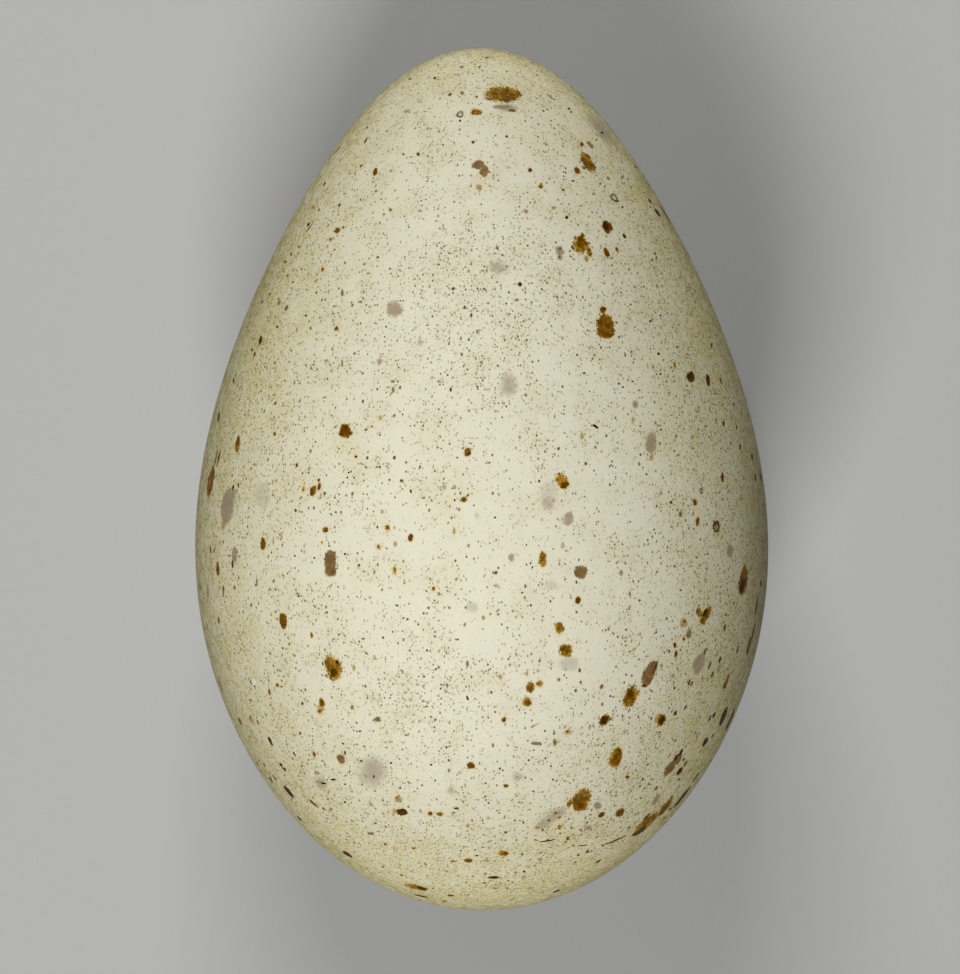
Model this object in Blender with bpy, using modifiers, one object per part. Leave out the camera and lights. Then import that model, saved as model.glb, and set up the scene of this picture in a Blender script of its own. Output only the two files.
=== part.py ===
# A sarus crane egg, lying on its side as a loose egg does: on a small flat spot, narrow end dipping.
# Metres, +Z up. The origin is the middle of the flat spot, and the narrow end points towards +Y.

import math

import bpy

# Driving dimensions of the shell.
EGG_LENGTH = 0.0927
EGG_BREADTH = 0.0616
FLAT_SPOT_DEPTH = 0.00012

# The outline departs from an ellipse by a polynomial of the place along the axis, which runs from
# -1 at the blunt end to +1 at the narrow end. The first number draws the narrow end in, the second
# slims both ends, and the last two round them off again.
OUTLINE_SHAPE = (-0.216, -0.1375, 0.0626, 0.075)

# How finely the turned surface is faceted.
RINGS = 46
SIDES = 96
SLICES = 2000

SHELL_COLOUR = (0.74, 0.70, 0.55, 1.0)
SHELL_ROUGHNESS = 0.5
CUTTER_SIDE = 0.05
MERGE_DISTANCE = 0.00001


def unscaled_radius(place):
    """The radius at a place along the axis, before it is brought to the egg's breadth."""
    swelling = 1 + sum(share * place ** (power + 1) for power, share in enumerate(OUTLINE_SHAPE))
    return math.sqrt(max(0.0, 1 - place * place)) * swelling


def places(count):
    """Places from the blunt end to the narrow end, closer together where the ends curve most."""
    return [-math.cos(math.pi * step / count) for step in range(count + 1)]


WIDEST = max(unscaled_radius(place) for place in places(SLICES))


def outline_point(place):
    """(radius, height along the axis) of the outline, in metres, with height 0 half way along."""
    return EGG_BREADTH / 2 * unscaled_radius(place) / WIDEST, EGG_LENGTH / 2 * place


def height_of_centre(points):
    """How far along the axis the centre of mass of the turned solid lies."""
    volume = 0.0
    moment = 0.0
    for (radius_a, height_a), (radius_b, height_b) in zip(points, points[1:]):
        slice_volume = (radius_a ** 2 + radius_b ** 2) / 2 * (height_b - height_a)
        volume += slice_volume
        moment += slice_volume * (height_a + height_b) / 2
    return moment / volume


def resting_place():
    """(radius, height, dip) where the egg touches the ground: the nearest point to its centre of mass."""
    points = [outline_point(place) for place in places(SLICES)]
    centre = height_of_centre(points)
    nearest = min(range(1, SLICES), key=lambda i: math.hypot(points[i][0], points[i][1] - centre))
    before, after = points[nearest - 1], points[nearest + 1]
    dip = math.atan2(before[0] - after[0], after[1] - before[1])
    return *points[nearest], dip


def collection_named(name):
    collection = bpy.data.collections.new(name)
    bpy.context.scene.collection.children.link(collection)
    return collection


def shell_material():
    material = bpy.data.materials.new("eggshell")
    material.use_nodes = True
    shader = material.node_tree.nodes["Principled BSDF"]
    shader.inputs["Base Color"].default_value = SHELL_COLOUR
    shader.inputs["Roughness"].default_value = SHELL_ROUGHNESS
    shader.inputs["Metallic"].default_value = 0.0
    return material


def turned_egg(collection):
    """The half outline, narrow end first, turned once round the object's own Z axis."""
    points = [outline_point(place) for place in reversed(places(RINGS))]
    mesh = bpy.data.meshes.new("egg")
    edges = [(i, i + 1) for i in range(RINGS)]
    mesh.from_pydata([(radius, 0.0, height) for radius, height in points], edges, [])
    egg = bpy.data.objects.new("egg", mesh)
    collection.objects.link(egg)
    egg.data.materials.append(shell_material())
    turn = egg.modifiers.new("turn", "SCREW")
    turn.axis = "Z"
    turn.angle = math.tau
    turn.steps = turn.render_steps = SIDES
    turn.use_merge_vertices = True
    turn.merge_threshold = MERGE_DISTANCE
    turn.use_smooth_shade = True
    return egg


def lay_down(egg):
    """Turns the narrow end to +Y, dipping, with the lowest point under the origin by the spot's depth."""
    radius, height, dip = resting_place()
    egg.rotation_euler = (-(math.pi / 2 + dip), 0.0, 0.0)
    egg.location = (
        0.0,
        radius * math.sin(dip) - height * math.cos(dip),
        radius * math.cos(dip) + height * math.sin(dip) - FLAT_SPOT_DEPTH,
    )


def flatten_resting_spot(egg, collection):
    """Cuts off what lies below the ground, so that the egg has a small flat spot to rest on."""
    bpy.ops.mesh.primitive_cube_add(size=CUTTER_SIDE, location=(0.0, 0.0, -CUTTER_SIDE / 2))
    ground = bpy.context.active_object
    ground.name = "ground_cutter"
    for other in list(ground.users_collection):
        other.objects.unlink(ground)
    collection.objects.link(ground)
    ground.hide_render = True
    ground.display_type = "WIRE"
    cut = egg.modifiers.new("flat_spot", "BOOLEAN")
    cut.operation = "DIFFERENCE"
    cut.solver = "EXACT"
    cut.object = ground


def main():
    for old in list(bpy.data.objects):
        bpy.data.objects.remove(old)
    pieces = collection_named("sarus_crane_egg")
    cutters = collection_named("cutters")
    egg = turned_egg(pieces)
    lay_down(egg)
    flatten_resting_spot(egg, cutters)


main()
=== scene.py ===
import math
import random

import bpy
from mathutils import Matrix, Vector, noise
from mathutils.kdtree import KDTree


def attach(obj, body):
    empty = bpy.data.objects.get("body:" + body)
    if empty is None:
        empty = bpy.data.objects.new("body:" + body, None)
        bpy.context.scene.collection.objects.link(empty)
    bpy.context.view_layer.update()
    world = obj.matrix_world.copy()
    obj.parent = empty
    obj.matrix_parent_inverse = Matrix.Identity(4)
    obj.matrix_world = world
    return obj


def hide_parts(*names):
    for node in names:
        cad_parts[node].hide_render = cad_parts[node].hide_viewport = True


# A sarus crane egg lying on its side, narrow end dipping, seen from above.
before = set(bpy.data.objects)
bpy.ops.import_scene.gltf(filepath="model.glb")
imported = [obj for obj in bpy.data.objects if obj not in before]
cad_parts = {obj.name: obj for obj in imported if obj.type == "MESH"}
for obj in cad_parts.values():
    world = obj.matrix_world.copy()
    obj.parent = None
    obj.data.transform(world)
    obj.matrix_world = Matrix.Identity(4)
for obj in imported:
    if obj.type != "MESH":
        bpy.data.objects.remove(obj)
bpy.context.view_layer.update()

mm = 0.001
random.seed(7)


def deselectAll():
    bpy.ops.object.select_all(action="DESELECT")


def selectOnly(piece):
    deselectAll()
    piece.select_set(True)
    bpy.context.view_layer.objects.active = piece


def startEditing(piece):
    selectOnly(piece)
    bpy.ops.object.mode_set(mode="EDIT")


def stopEditing():
    bpy.ops.object.mode_set(mode="OBJECT")


def applyModifiers(piece):
    selectOnly(piece)
    for modifier in list(piece.modifiers):
        bpy.ops.object.modifier_apply(modifier=modifier.name)


def applyPlace(piece):
    selectOnly(piece)
    bpy.ops.object.transform_apply(location=True, rotation=True, scale=True)


# Where the egg lies is read off the frame: its two tips are the corners farthest apart.
def farthestFrom(corner, corners):
    return max(corners, key=lambda other: (other - corner).length)


def findTips():
    corners = [vertex.co.copy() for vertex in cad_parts["egg"].data.vertices]
    narrow = max(corners, key=lambda corner: corner.y)
    for turn in range(4):               # back and forth until neither tip moves any more
        blunt = farthestFrom(narrow, corners)
        narrow = farthestFrom(blunt, corners)
    return blunt, narrow


bluntTip, narrowTip = findTips()
eggMiddle = (bluntTip + narrowTip) / 2
eggAxis = (narrowTip - bluntTip).normalized()
eggDip = math.atan2(bluntTip.z - narrowTip.z, narrowTip.y - bluntTip.y)
acrossEgg = Vector((1, 0, 0))
outOfEgg = acrossEgg.cross(eggAxis)     # square to the axis, up towards the camera


# The shell's form

shell = {
    "breadth": 61.6 * mm,
    "outline": (-0.216, -0.1375, 0.0626, 0.075),    # how far it leaves an ellipse, blunt end at -1
    "outlineSteps": 160,
    "widestSteps": 2000,                # how finely the widest place is looked for
    "turnSteps": 360,
    "mergeDistance": 0.001 * mm,
    "halvings": 7,                      # every halving of the cage makes four faces of one
    "swellSize": 9 * mm,                # how broad the shell's faint unevenness is
    "swellHeight": 0.035 * mm,
    "grainSize": 1.1 * mm,
    "grainHeight": 0.006 * mm,
}


def outlineSwell(place):
    swell = 1 + sum(share * place ** (power + 1) for power, share in enumerate(shell["outline"]))
    return math.sqrt(max(0.0, 1 - place * place)) * swell


def outlinePoint(step, steps, widest, halfLength):
    place = -math.cos(math.pi * step / steps)
    return Vector((shell["breadth"] / 2 * outlineSwell(place) / widest, 0, halfLength * place))


# The half outline is drawn point by point from the blunt tip, then spun once round
def makeSpunForm(halfLength):
    steps = shell["outlineSteps"]
    fine = shell["widestSteps"]
    widest = max(outlineSwell(-math.cos(math.pi * step / fine)) for step in range(fine + 1))
    points = [outlinePoint(step, steps, widest, halfLength) for step in range(steps + 1)]
    bpy.ops.mesh.primitive_plane_add(size=mm)
    form = bpy.context.active_object
    form.name = "eggForm"
    startEditing(form)
    bpy.ops.mesh.select_all(action="SELECT")
    bpy.ops.mesh.merge(type="CENTER")
    bpy.ops.transform.translate(value=points[0])
    for before, after in zip(points, points[1:]):
        bpy.ops.mesh.extrude_region_move(TRANSFORM_OT_translate={"value": after - before})
    bpy.ops.mesh.select_all(action="SELECT")
    bpy.ops.mesh.spin(steps=shell["turnSteps"], angle=math.tau, center=(0, 0, 0), axis=(0, 0, 1))
    bpy.ops.mesh.select_all(action="SELECT")
    bpy.ops.mesh.remove_doubles(threshold=shell["mergeDistance"])
    bpy.ops.mesh.normals_make_consistent(inside=False)
    stopEditing()
    return form


# A cube halved and rounded again and again, so that its faces stay even and it has no pole
def makeRoundCage(halfLength):
    bpy.ops.mesh.primitive_cube_add(size=shell["breadth"])
    cage = bpy.context.active_object
    cage.name = "crane_eggshell"
    startEditing(cage)
    for halving in range(shell["halvings"]):
        bpy.ops.mesh.select_all(action="SELECT")
        bpy.ops.mesh.subdivide(number_cuts=1)
        bpy.ops.transform.tosphere(value=1)
    stopEditing()
    reach = cage.data.vertices[0].co.length
    cage.scale = (shell["breadth"] / 2 / reach, shell["breadth"] / 2 / reach, halfLength / reach)
    applyPlace(cage)
    return cage


def addUnevenness(piece, name, size, height, depth):
    texture = bpy.data.textures.new(name, "CLOUDS")
    texture.noise_scale = size
    texture.noise_depth = depth
    uneven = piece.modifiers.new(name, "DISPLACE")
    uneven.texture = texture
    uneven.texture_coords = "LOCAL"
    uneven.strength = height
    uneven.mid_level = 0.5


# What reaches below the ground is pressed flat on it, which makes the small spot the egg rests on
def pressRestingSpot(piece):
    startEditing(piece)
    bpy.ops.mesh.select_all(action="DESELECT")
    stopEditing()
    for vertex in piece.data.vertices:
        vertex.select = vertex.co.z < 0
    startEditing(piece)
    bpy.ops.transform.resize(value=(1, 1, 0), center_override=(0, 0, 0))
    stopEditing()


def makeShell():
    halfLength = (narrowTip - bluntTip).length / 2
    form = makeSpunForm(halfLength)
    piece = makeRoundCage(halfLength)
    wrap = piece.modifiers.new("wrap", "SHRINKWRAP")
    wrap.target = form
    wrap.wrap_method = "NEAREST_SURFACEPOINT"
    applyModifiers(piece)
    bpy.data.objects.remove(form)
    addUnevenness(piece, "swells", shell["swellSize"], shell["swellHeight"], 1)
    addUnevenness(piece, "grain", shell["grainSize"], shell["grainHeight"], 2)
    applyModifiers(piece)
    piece.rotation_euler = (-(math.pi / 2 + eggDip), 0, 0)
    piece.location = eggMiddle
    applyPlace(piece)
    pressRestingSpot(piece)
    selectOnly(piece)
    bpy.ops.object.shade_smooth()
    return piece


# The camera looks square down on the lying egg

view = {
    "lens": 150,                        # mm
    "sensor": 36,                       # mm, the picture's long side
    "tall": 104.95 * mm,                # how much of the egg's mid-plane the picture's height takes in
    "pictureMiddle": (-0.15 * mm, -0.87 * mm),      # from the egg's own middle
    "lean": math.radians(0.28),         # the egg's top leans this much to the left
}
pictureUp = eggAxis * math.cos(view["lean"]) + acrossEgg * math.sin(view["lean"])
pictureRight = pictureUp.cross(outOfEgg)


def makeCamera():
    camera = bpy.data.objects.new("camera", bpy.data.cameras.new("camera"))
    bpy.context.scene.collection.objects.link(camera)
    camera.data.lens = view["lens"]
    camera.data.sensor_width = view["sensor"]
    camera.data.clip_start = 0.01
    camera.data.clip_end = 20
    right, up = view["pictureMiddle"]
    distance = view["tall"] * view["lens"] / view["sensor"]
    camera.location = eggMiddle + pictureRight * right + pictureUp * up + outOfEgg * distance
    camera.rotation_mode = "QUATERNION"
    camera.rotation_quaternion = Matrix((pictureRight, pictureUp, outOfEgg)).transposed().to_quaternion()
    bpy.context.scene.camera = camera
    return camera


# Marks on the shell

# Each mark is an ellipse seen from the camera. Its own two coordinates are kept on the face corners under
# it, where they run straight from corner to corner, so its edge stays sharper than the mesh.
markLayers = 4              # marks whose faces would meet go in different layers
markTrim = 0.035 * mm       # how far a mark's soft edge makes it look bigger
markRoom = 0.35 * mm        # how far past its edge a mark's coordinates are kept at the least
faceReach = 0.4 * mm        # more than the way from a face's middle to its corners
steepest = 0.2              # a face turned further away than this is the shell's other side
leastShrink = 0.3           # near the rim a mark is at most this much shorter to the eye than on the shell
markData = {"place": "FLOAT_VECTOR", "colour": "FLOAT_COLOR", "edge": "FLOAT_COLOR", "form": "FLOAT_COLOR"}

# colour, cover, softness and raggedness of the edge (mm), crumbling, dark core, halo, fading, hollow middle
def markKind(colour, cover, soft, ragged, crumble, core, halo, fade=0.0, hollow=0.0):
    return dict(colour=colour, cover=cover, soft=soft, ragged=ragged, crumble=crumble, core=core, halo=halo,
                fade=fade, hollow=hollow)


# in the order they are laid, so that dark marks come out on top
kinds = {
    "pale": markKind((0.530, 0.490, 0.370), 0.60, 0.30, 0.15, 0.25, 0, 0, 0.5),
    "mauve": markKind((0.370, 0.305, 0.215), 0.75, 0.30, 0.20, 0.35, 0, 0, 1.2),
    "lilac": markKind((0.360, 0.283, 0.185), 0.90, 0.25, 0.08, 0.4, 0.2, 0, 0.15),
    "taupe": markKind((0.235, 0.138, 0.045), 0.97, 0.16, 0.06, 0.35, 0.45, 0.2),
    "amber": markKind((0.400, 0.250, 0.045), 0.75, 0.16, 0.08, 0.5, 0.5, 0.6),
    "golden": markKind((0.345, 0.185, 0.010), 0.985, 0.11, 0.08, 0.6, 0.85, 0.8),
    "olive": markKind((0.200, 0.145, 0.030), 0.85, 0.12, 0.05, 0.4, 0.6, 0.3),
    "ring": markKind((0.075, 0.042, 0.006), 0.97, 0.10, 0.04, 0.5, 0, 0.3, 0, 0.8),
    "umber": markKind((0.225, 0.098, 0.002), 0.995, 0.09, 0.06, 0.35, 0.75, 0.7),
    "dark": markKind((0.085, 0.034, 0.001), 0.997, 0.08, 0.05, 0.3, 0.6, 0.4),
    "fleck": markKind((0.090, 0.055, 0.006), 0.95, 0.08, 0.03, 0.35, 0.4, 0.3),
    "ink": markKind((0.012, 0.007, 0.001), 1.0, 0.06, 0.02, 0.2, 0, 0.1),
    "chip": markKind((0.860, 0.850, 0.740), 0.97, 0.08, 0.03, 0, 0, 0),
}

# Marks of the seen side: right and up from the egg's middle, wide, long (mm), and how far the top leans right
# (degrees). A mark that has no length is round.
seenMarks = {
    "umber": [
        (-11.46, 33.11, 0.54, 0.97, 15), (5.23, 33.32, 0.5, 0.6), (10.82, 36.06, 0.48, 0.59),
        (10.33, 33.17, 0.65, 0.86, -25), (11.6, 33.9, 0.7, 1.1, -35), (13.56, 27.19, 1.1, 1.5, -25),
        (13.46, 24.42, 0.6, 1.1, -25), (14.58, 24.72, 0.48, 0.65, -15), (13.4, 16.44, 2.04, 2.9),
        (13.08, 18.2, 0.8, 0.8), (-15.53, 26.76, 0.65, 0.86, 25), (-15.63, 16.23, 0.5, 0.65, 10),
        (-24.45, 13.43, 0.32, 0.65, 10), (-14.67, 5.15, 1.4, 1.51), (-22.3, 4.83, 0.38, 0.54, 8),
        (-29.18, -0.23, 0.81, 3.55, 10), (-28.58, 2.35, 0.22, 2.15, 12), (-28.32, 2.19, 0.22, 2.04, 13),
        (-18.11, -1.28, 0.75, 1.29, 15), (-17.48, -0.87, 0.43, 0.97, 15), (-17.52, -0.12, 0.32, 0.43),
        (-19.9, 1.49, 0.27, 0.43), (-13.53, 2.42, 0.32, 0.32), (-23.54, -7.03, 0.7, 1.4),
        (-28.4, -9.74, 0.48, 1.61, -3), (-21.33, -15.3, 0.86, 1.8, -4), (-1.49, 2.89, 0.86, 0.97),
        (-1.89, -2.19, 0.7, 0.75), (-1.5, -1.8, 0.22, 0.5, 40), (8.97, -0.62, 0.9, 0.78),
        (-7.63, -6.35, 0.59, 0.86, 15), (1.55, -10.12, 0.32, 0.38), (10.44, -13.08, 0.65, 0.86),
        (25.98, 0.14, 0.43, 1.18), (23.29, -4.61, 0.48, 1.13, 5), (28.24, -10.92, 1.08, 3.33, 8),
        (16.1, -23.35, 0.85, 1.35, 28), (26.41, -21.82, 0.43, 1.83, 20), (28.83, -18.05, 0.43, 2.15, 15),
        (29.31, -16.44, 0.32, 2.15, 12), (29.63, -13.75, 0.27, 2.15, 8), (19.38, -26.0, 1.0, 1.45, 22),
        (15.72, -32.14, 0.54, 0.43), (10.6, -35.3, 1.6, 1.2, -20), (8.39, -36.46, 0.22, 0.54, 80),
        (9.31, -38.72, 0.43, 0.54), (12.93, -36.2, 0.6, 0.85, 38), (14.95, -35.98, 0.86, 1.18, 38),
        (18.83, -33.32, 0.32, 0.54, 35), (17.5, -37.5, 0.95, 3.1, 50), (19.9, -35.3, 0.65, 2.0, 38),
        (14.47, -38.94, 0.24, 2.69, 70), (-15.68, -21.14, 0.97, 1.0, -20), (-17.21, -24.1, 0.7, 1.08, -12),
        (-22.84, -22.96, 0.38, 0.75, -15), (-18.02, -29.69, 0.5, 0.7, -20),
        (-18.11, -34.96, 0.32, 1.29, -50), (5.5, -22.25, 0.35, 0.6), (2.43, -25.92, 0.54, 0.65),
        (-1.12, -30.87, 0.91, 0.91), (9.2, -27.19, 0.43, 0.32), (2.62, -33.08, 0.65, 0.48),
        (-9.12, -34.31, 0.3, 0.3), (-5.53, -36.06, 0.65, 0.59), (-7.27, -39.8, 0.32, 0.54, 75),
        (-10.37, -39.37, 0.43, 0.32), (-3.31, -44.9, 0.3, 0.86, 90), (-3.98, -45.49, 0.24, 0.54, 90),
        (0.39, -43.53, 0.24, 0.54, 90), (2.6, -40.35, 0.6, 0.5), (14.43, -30.45, 1.2, 0.95),
        (14.75, -29.4, 0.75, 0.75, 20), (9.1, -18.3, 0.8, 0.9), (8.34, -16.1, 0.5, 0.7),
        (3.1, 41.65, 1.6, 0.75), (1.95, 40.95, 1.9, 0.5), (-0.6, 39.55, 0.8, 0.55),
        (10.7, 25.42, 1.25, 1.3), (10.87, 26.22, 0.5, 0.75), (10.13, 25.96, 0.45, 0.5),
        (11.1, 25.1, 0.7, 0.9), (9.95, 24.75, 0.25, 0.3), (20.85, -17.95, 0.38, 0.65, 5),
        (20.95, -18.85, 0.42, 0.85, 10), (5.45, -22.85, 0.5, 0.5), (5.1, -24.1, 0.25, 0.5, 15),
        (13.3, -26, 1, 1.5, 50), (20.35, -35.6, 0.3, 0.5, 38),
    ],
    "dark": [
        (18.17, 29.95, 0.32, 0.65, -30), (18.99, 28.67, 0.43, 1.08, -30), (19.88, 28.4, 0.32, 2.37, -28),
        (9.19, 28.2, 0.38, 0.43), (22.58, 10.98, 0.94, 1.29, -8), (24.42, 10.63, 0.54, 1.4, -8),
        (4.15, 20.96, 0.5, 0.6), (-23.81, 14.94, 0.48, 1.08, 12), (-28.32, 6.66, 0.32, 1.18, 8),
        (-26.76, -0.94, 0.32, 0.75, 8), (-26.82, -9.2, 0.32, 0.86, -3), (-30.32, -11.56, 0.27, 1.08, -5),
        (27.89, 3.43, 0.3, 0.75), (29.16, 2.48, 0.3, 0.86), (29.51, 0.14, 0.27, 1.08),
        (30.11, 0.2, 0.32, 1.08), (28.1, -11.6, 0.6, 1.5, 8), (30.11, -11.26, 0.27, 0.75, 5),
        (21.89, -15.37, 0.38, 0.48), (13.15, -26.05, 0.8, 1.2, 40), (13.95, -25.85, 0.2, 0.65, 40),
        (20.9, -25.24, 0.38, 0.65, 25), (25.06, -25.44, 0.43, 0.75, 25), (26.09, -25.58, 0.68, 2.3, 20),
        (26.82, -25.98, 0.6, 2.7, 22), (24.13, -28.33, 0.54, 1.29, 25), (20.98, -30.0, 0.42, 0.9, 30),
        (21.5, -29.45, 0.3, 1.0, 25), (21.35, -31.52, 0.54, 1.08, 30), (23.18, -32.05, 0.27, 1.29, 38),
        (21.6, -34.35, 0.6, 2.8, 38), (17.1, -37.95, 0.5, 1.8, 52), (-22.75, -28.24, 0.43, 1.08, -25),
        (-26.02, -26.12, 0.27, 0.97, -25), (-20.71, -33.77, 0.54, 1.83, -38),
        (-8.56, -35.92, 0.86, 1.4, -80), (-14.4, -40.44, 0.5, 1.35, -58), (-6.4, -44.1, 0.5, 1.4, -78),
        (-6.49, -44.96, 0.27, 1.72, -80), (1.33, -42.94, 0.43, 1.29, 90), (8.13, -44.42, 0.32, 0.97, 72),
        (-28.1, -22.3, 0.2, 1.3, -15), (-19.63, -36.57, 0.3, 0.9, -45), (24.1, -14.4, 0.5, 0.8, 25),
        (15.4, 26.14, 0.4, 0.6, -25), (13.35, 27.35, 0.7, 1, -25), (19.45, -26.05, 0.55, 0.95, 22),
        (10.35, -34.95, 0.5, 0.6), (15.15, -29.4, 0.26, 0.9, 18), (20.5, -34.3, 0.25, 0.55, 38),
        (19.25, -36.2, 0.3, 0.45, 38), (17.85, -36.35, 0.25, 1.4, 50), (8.52, 0.22, 0.42, 0.75, -25),
        (-1.35, 2.75, 0.5, 0.5), (17.5, -22.25, 0.5, 0.45), (21.15, -29.8, 0.6, 1.1, 30),
        (-15.9, -20.9, 0.9, 1.0), (-15.6, -19.75, 0.35, 0.5, -20),
    ],
    "golden": [
        (2.32, 41.49, 3.98, 1.94), (-0.58, 39.56, 1.18, 0.86), (6.41, 31.6, 0.54, 0.65),
        (8.77, 31.17, 0.43, 0.38), (11.46, 34.18, 1.18, 2.47, -35), (10.7, 25.2, 1.6, 1.9, -10),
        (20.82, 12.3, 0.32, 0.75, -10), (17.0, 9.56, 0.27, 0.27), (-16.28, 25.85, 0.38, 0.48, 20),
        (-17.14, 22.57, 0.32, 0.54, 15), (-26.28, 3.75, 0.65, 1.94, 8), (-19.18, -1.09, 0.38, 0.75, 12),
        (-16.84, -5.49, 0.75, 0.65), (-17.21, -6.85, 0.27, 0.27), (-11.12, -7.32, 0.43, 0.54),
        (-10.1, -5.24, 0.54, 0.65), (6.62, -8.67, 0.91, 1.72), (8.72, -0.26, 1.25, 1.75, -30),
        (-9.34, -9.8, 0.5, 0.86), (-5.15, -11.84, 0.38, 0.54), (8.34, -16.09, 0.97, 1.29),
        (23.02, -2.48, 0.54, 0.65), (24.3, -14.5, 0.85, 1.9, 32), (23.5, -14.35, 0.65, 1.1, -15),
        (23.85, -15.3, 0.75, 0.7), (21.84, -17.25, 0.32, 0.54), (16.1, -23.55, 1.45, 2.5, 28),
        (15.98, -12.38, 0.27, 0.65), (14.69, -29.47, 0.97, 1.08), (14.37, -30.44, 1.51, 1.51),
        (22.38, -33.34, 0.4, 0.9, 40), (10.8, -34.55, 2.0, 2.6, 20), (9.5, -35.0, 0.5, 1.1, 20),
        (8.05, -36.03, 0.43, 0.32), (7.25, -36.78, 0.32, 0.24), (6.03, -37.6, 0.43, 0.32),
        (8.39, -37.54, 0.54, 0.65), (8.52, -38.18, 0.32, 0.32), (14.52, -34.15, 0.43, 0.32),
        (17.9, -37.0, 1.1, 3.5, 48), (19.85, -35.35, 0.85, 2.4, 38), (-16.01, -20.27, 1.83, 2.9, -20),
        (-18.29, -16.84, 0.32, 0.65, -10), (-17.42, -25.11, 0.6, 0.5), (-21.98, -22.22, 0.43, 0.54),
        (-21.55, -22.38, 0.27, 0.27), (9.1, -18.45, 1.4, 1.61), (8.34, -21.62, 0.32, 0.43),
        (5.25, -22.45, 0.95, 1.25), (6.27, -22.05, 0.8, 0.85, 30), (4.9, -24.05, 1.0, 1.2),
        (-4.52, -36.14, 0.54, 0.86, 90), (-7.03, -43.99, 0.7, 2.6, -78), (-3.05, -41.19, 0.38, 0.75, 90),
        (-1.4, -41.09, 0.59, 0.97, 90), (2.32, -40.35, 0.65, 1.13, 90), (11.61, 24.47, 0.6, 1.25, -15),
        (14.5, -29.9, 1.3, 2, 10),
    ],
    "amber": [
        (-0.26, 31.39, 0.75, 0.75), (4.8, 28.81, 0.5, 0.5), (6.84, 36.17, 0.54, 0.32),
        (9.46, 28.54, 0.36, 0.36), (7.78, 29.2, 0.43, 0.32), (12.97, 16.66, 0.32, 0.32),
        (16.33, 6.33, 0.4, 0.7), (10.82, 4.61, 0.43, 0.75), (22.71, 4.4, 0.22, 0.54),
        (18.34, 2.35, 0.5, 0.7), (-18.11, 29.28, 0.43, 0.54, 30), (-10.9, 6.55, 0.48, 0.65),
        (-27.78, -4.9, 0.54, 1.29, 8), (-22.09, -0.2, 0.32, 0.2), (-22.41, -6.78, 0.24, 0.86),
        (-21.55, -6.12, 0.32, 0.97), (-10.69, -3.56, 0.32, 0.43), (-2.95, -5.6, 0.32, 0.75),
        (0.2, -14.99, 0.32, 0.54), (21.82, -15.43, 0.95, 1.05), (9.3, -27.3, 0.86, 0.65),
        (-13.72, -20.4, 0.32, 0.65), (-24.82, -25.98, 0.54, 0.86, -20), (-12.99, -30.39, 0.32, 0.32),
        (4.9, -20.98, 0.32, 0.54), (2.04, -21.34, 0.43, 0.54), (5.74, -26.57, 0.18, 1.08, 60),
        (-8.98, -34.53, 0.86, 0.75), (-9.3, -35.8, 0.6, 0.7), (0.76, -36.55, 0.54, 0.43),
        (-1.49, -37.32, 0.43, 0.54), (7.65, -40.44, 0.32, 0.24), (11.3, 23.75, 0.5, 0.7),
        (-17.3, -24.7, 0.9, 1), (19.05, -25.85, 0.8, 1.2, 22), (25.3, -5.2, 0.8, 1.3),
    ],
    "taupe": [
        (-0.26, 33.86, 1.5, 1.1), (0.28, 33.22, 1.0, 1.6, -5), (-16.28, -9.08, 1.4, 3.01),
        (-16.28, -9.9, 1.4, 1.4), (10.71, -10.06, 1.4, 1.51), (21.44, -3.77, 0.5, 0.65),
        (18.1, -20.95, 1.35, 3.0, 27), (17.8, -21.7, 1.1, 1.5, 27), (12.95, -22.42, 0.38, 0.65, 15),
        (20.3, -31.2, 1.0, 2.0, 35), (21.1, -30.2, 0.9, 1.5, 30), (-11.17, -25.92, 0.7, 0.7),
        (-15.14, -30.2, 0.91, 1.29, -30), (3.3, 39.7, 0.9, 0.4), (8.45, 24.75, 0.35, 0.4),
        (8.42, 23.9, 0.3, 0.35),
    ],
    "lilac": [
        (-8.1, 39.6, 0.75, 0.54), (8.42, 24.6, 1.0, 1.15, -20), (8.5, 23.8, 0.65, 0.55), (8.5, 26.5, 0.32),
        (16.6, 8.0, 0.65, 0.97), (18.3, 3.9, 1.24, 2.47), (-9.4, 18.3, 1.72, 1.83),
        (-11.0, 12.7, 0.65, 0.75), (-19.9, 16.0, 0.32, 0.65), (-27.35, -2.9, 1.61, 3.87, 10),
        (-26.6, -8.1, 0.75, 1.72), (-29.5, -12.2, 0.43, 2.04), (9.4, -4.3, 1.18, 1.4, 20),
        (3.25, -8.5, 0.65, 0.97), (-9.3, -7.0, 0.43, 0.65), (1.6, -11.5, 0.32, 0.43),
        (26.8, -7.65, 0.75, 1.51), (15.05, -10.1, 0.43, 0.65), (23.5, -19.8, 1.29, 2.58, 20),
        (25.6, -20.4, 0.43, 1.29, 15), (11.5, -37.6, 0.97, 0.65), (12.5, -35.2, 0.97, 0.86),
        (18.8, -34.6, 0.54, 1.61, 35), (4.6, -42.8, 0.43, 0.32), (-6.55, -35.8, 0.32, 0.54, -20),
        (6.4, -41.0, 0.54, 0.38), (2.2, 40.1, 2, 0.6), (-4.02, -0.87, 0.54, 0.65), (8.77, -7.19, 0.5, 0.8),
        (11.68, -26.78, 0.4, 0.7, 10),
    ],
    "mauve": [
        (2.9, 40.0, 2.15, 0.86), (13.1, 37.4, 1.29, 3.76, -40), (2.9, 10.2, 1.61, 2.37),
        (1.8, 22.8, 1.72, 1.29), (7.2, -2.75, 1.29, 1.29), (-6.6, 14.8, 0.54, 0.86),
        (-17.3, -32.8, 0.97, 1.29), (-11.75, -31.5, 2.69, 3.12), (-3.2, -33.5, 0.75, 0.86),
        (3.9, -32.1, 1.08, 0.75), (7.4, -36.7, 1.2, 4.0, 55), (-27.6, -4.5, 0.7, 1.4, 8),
    ],
    "pale": [
        (-23.6, -1.7, 1.83, 2.69), (7.3, -1.4, 1.72, 2.37), (7.6, -11.5, 1.29, 1.08),
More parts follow.
